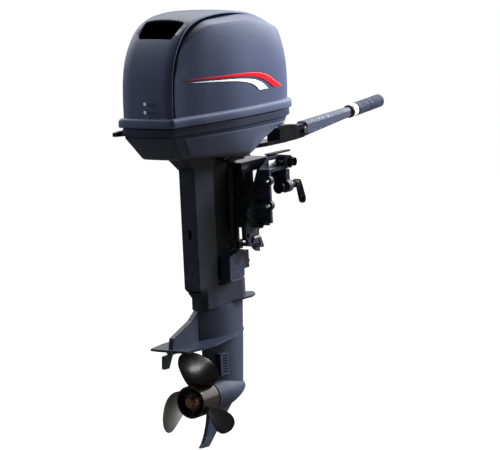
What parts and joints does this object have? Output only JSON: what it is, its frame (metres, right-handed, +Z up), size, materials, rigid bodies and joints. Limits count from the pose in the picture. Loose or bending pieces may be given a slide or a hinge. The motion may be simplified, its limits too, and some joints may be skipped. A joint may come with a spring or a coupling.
{
  "type": "outboard motor",
  "caption": "Tiller-steered two-stroke outboard motor with clamp brackets, tilt and steering pivots, cowl, powerhead, geared lower unit and three-bladed propeller.",
  "frame": {"origin": "transom mount: centre between the two clamp brackets, on their bearing face, at the height of the transom seat", "axes": "+X forward towards the bow, +Y to port, +Z up"},
  "size_m": [1.0879, 0.2714, 1.113],
  "materials": {
    "cowl_paint": "satin",
    "leg_paint": "satin painted",
    "black_paint": "gloss painted",
    "prop_paint": "gloss painted",
    "tiller_paint": "satin painted",
    "bare_steel": "brushed",
    "gear_steel": "machined",
    "cast_iron": "matte",
    "cast_aluminium": "cast",
    "brass": "satin",
    "black_plastic": "matte",
    "white_plastic": "satin",
    "red_plastic": "gloss",
    "rubber": "matte",
    "grip_rubber": "ribbed"
  },
  "bodies": {
    "mount": {"clamp_bracket_starboard": "black_paint", "clamp_bracket_port": "black_paint", "tilt_tube": "bare_steel", "tilt_tube_nuts": "bare_steel", "bracket_spacer": "bare_steel"},
    "starboard_pad": {"clamp_pad_starboard": "bare_steel"},
    "starboard_screw": {"clamp_screw_starboard": "bare_steel"},
    "port_pad": {"clamp_pad_port": "bare_steel"},
    "port_screw": {"clamp_screw_port": "bare_steel"},
    "trim_pin": {"trim_rod": "bare_steel"},
    "swivel": {"swivel_bracket": "black_paint"},
    "lock_hook": {"reverse_lock_hook": "bare_steel"},
    "friction_control": {"friction_lever": "bare_steel"},
    "motor": {"steering_shaft": "black_paint", "steering_bracket": "black_paint", "upper_mounts": "rubber", "lower_mounts": "rubber", "lower_mount_covers": "leg_paint", "mount_bolts": "bare_steel", "upper_casing": "leg_paint", "exhaust_tube": "cast_aluminium", "bottom_cowl": "cowl_paint", "cylinder_block": "cast_aluminium", "cylinder_head": "cast_aluminium", "spark_plugs": "rubber", "exhaust_cover": "cast_aluminium", "recoil_housing": "black_plastic", "carburetor": "cast_aluminium", "intake_silencer": "black_plastic", "gearcase": "leg_paint", "trim_tab": "leg_paint", "water_inlet_covers": "black_plastic", "bearing_carrier": "cast_aluminium", "water_pump_housing": "black_plastic"},
    "hood": {"top_cowl": "cowl_paint", "cowl_screws": "bare_steel", "intake_louvre": "black_plastic"},
    "latch": {"cowl_latch": "black_plastic"},
    "crank": {"crankshaft": "bare_steel", "flywheel": "cast_iron", "driveshaft": "bare_steel", "pinion": "gear_steel", "water_pump_impeller": "rubber"},
    "ahead_gear": {"forward_gear": "gear_steel"},
    "astern_gear": {"reverse_gear": "gear_steel"},
    "prop": {"propeller_shaft": "bare_steel", "propeller": "prop_paint", "propeller_nut": "brass"},
    "clutch": {"dog_clutch": "gear_steel"},
    "shifter_rod": {"shift_rod": "bare_steel"},
    "shifter": {"shift_lever": "black_plastic"},
    "reel": {"recoil_reel": "black_plastic"},
    "starter": {"starter_handle": "black_plastic"},
    "choke": {"choke_knob": "black_plastic"},
    "stop": {"stop_button": "red_plastic"},
    "tiller": {"tiller_arm": "tiller_paint", "tiller_ring": "white_plastic", "tiller_pivot_bolt": "bare_steel"},
    "grip": {"throttle_grip": "grip_rubber"}
  },
  "joints": [
    {"name": "tilt", "type": "hinge", "parent": "mount", "child": "swivel", "pos_m": [0.098, 0, 0.016], "axis": [0, 1, 0], "range_deg": [0, 62]},
    {"name": "steer", "type": "hinge", "parent": "swivel", "child": "motor", "pos_m": [-0.052, 0, 0.019], "axis": [0, 0, 1], "range_deg": [-35, 35]},
    {"name": "tiller_fold", "type": "hinge", "parent": "motor", "child": "tiller", "pos_m": [0.24, -0.035, 0.079], "axis": [0, -1, 0], "range_deg": [0, 90]},
    {"name": "throttle", "type": "hinge", "parent": "tiller", "child": "grip", "pos_m": [0.24, -0.035, 0.079], "axis": [0.9976, 0, 0.0698], "range_deg": [0, 100]},
    {"name": "hood_lift", "type": "slide", "parent": "motor", "child": "hood", "axis": [0, 0, 1], "range_m": [0, 0.35]},
    {"name": "hood_latch", "type": "hinge", "parent": "motor", "child": "latch", "pos_m": [-0.38, 0.07, 0.143], "axis": [0, -1, 0], "range_deg": [0, 70]},
    {"name": "crank_spin", "type": "hinge", "parent": "motor", "child": "crank", "pos_m": [-0.125, 0, 0.219], "axis": [0, 0, 1], "continuous": true},
    {"name": "ahead_gear_spin", "type": "hinge", "parent": "motor", "child": "ahead_gear", "pos_m": [-0.105, 0, -0.555], "axis": [1, 0, 0], "continuous": true},
    {"name": "astern_gear_spin", "type": "hinge", "parent": "motor", "child": "astern_gear", "pos_m": [-0.145, 0, -0.555], "axis": [1, 0, 0], "continuous": true},
    {"name": "prop_spin", "type": "hinge", "parent": "motor", "child": "prop", "pos_m": [-0.238, 0, -0.555], "axis": [1, 0, 0], "continuous": true},
    {"name": "shift", "type": "hinge", "parent": "motor", "child": "shifter", "pos_m": [-0.03, 0.11, 0.103], "axis": [0, 1, 0], "range_deg": [-20, 20]},
    {"name": "clutch_slide", "type": "slide", "parent": "prop", "child": "clutch", "axis": [1, 0, 0], "range_m": [-0.00391, 0.00391]},
    {"name": "shift_rod_slide", "type": "slide", "parent": "motor", "child": "shifter_rod", "axis": [0, 0, 1], "range_m": [-0.00391, 0.00391]},
    {"name": "starter_pull", "type": "slide", "parent": "motor", "child": "starter", "axis": [1, 0, 0], "range_m": [0, 0.35], "stiffness_N_per_m": 40, "springref_m": -0.5},
    {"name": "reel_spin", "type": "hinge", "parent": "motor", "child": "reel", "pos_m": [-0.125, 0, 0.364], "axis": [0, 0, 1], "range_deg": [0, 310]},
    {"name": "choke_pull", "type": "slide", "parent": "motor", "child": "choke", "axis": [1, 0, 0], "range_m": [0, 0.02]},
    {"name": "stop_press", "type": "slide", "parent": "motor", "child": "stop", "axis": [-1, 0, 0], "range_m": [0, 0.003], "stiffness_N_per_m": 600, "springref_m": -0.002},
    {"name": "starboard_clamp", "type": "slide", "parent": "mount", "child": "starboard_pad", "axis": [-1, 0, 0], "range_m": [-0.012, 0.02]},
    {"name": "starboard_screw_turn", "type": "hinge", "parent": "starboard_pad", "child": "starboard_screw", "pos_m": [0.1, -0.086, -0.047], "axis": [-1, 0, 0], "range_deg": [-1728, 2880]},
    {"name": "port_clamp", "type": "slide", "parent": "mount", "child": "port_pad", "axis": [-1, 0, 0], "range_m": [-0.012, 0.02]},
    {"name": "port_screw_turn", "type": "hinge", "parent": "port_pad", "child": "port_screw", "pos_m": [0.1, 0.086, -0.047], "axis": [-1, 0, 0], "range_deg": [-1728, 2880]},
    {"name": "trim_pin_pull", "type": "slide", "parent": "mount", "child": "trim_pin", "axis": [0, -1, 0], "range_m": [0, 0.13]},
    {"name": "lock_release", "type": "hinge", "parent": "swivel", "child": "lock_hook", "pos_m": [-0.046, 0.027, -0.153], "axis": [0, -1, 0], "range_deg": [0, 30]},
    {"name": "friction_set", "type": "hinge", "parent": "swivel", "child": "friction_control", "pos_m": [0.08, -0.042, 0.035], "axis": [0, 0, 1], "range_deg": [-15, 15]}
  ],
  "couplings": [
    {"joint": "ahead_gear_spin", "follows": "crank_spin", "ratio": -0.54167},
    {"joint": "astern_gear_spin", "follows": "crank_spin", "ratio": 0.54167},
    {"joint": "clutch_slide", "follows": "shift", "m_per_rad": 0.0112},
    {"joint": "shift_rod_slide", "follows": "shift", "m_per_rad": -0.0112},
    {"joint": "reel_spin", "follows": "starter_pull", "rad_per_m": 15.15},
    {"joint": "starboard_screw_turn", "follows": "starboard_clamp", "rad_per_m": 2513.3},
    {"joint": "port_screw_turn", "follows": "port_clamp", "rad_per_m": 2513.3}
  ]
}
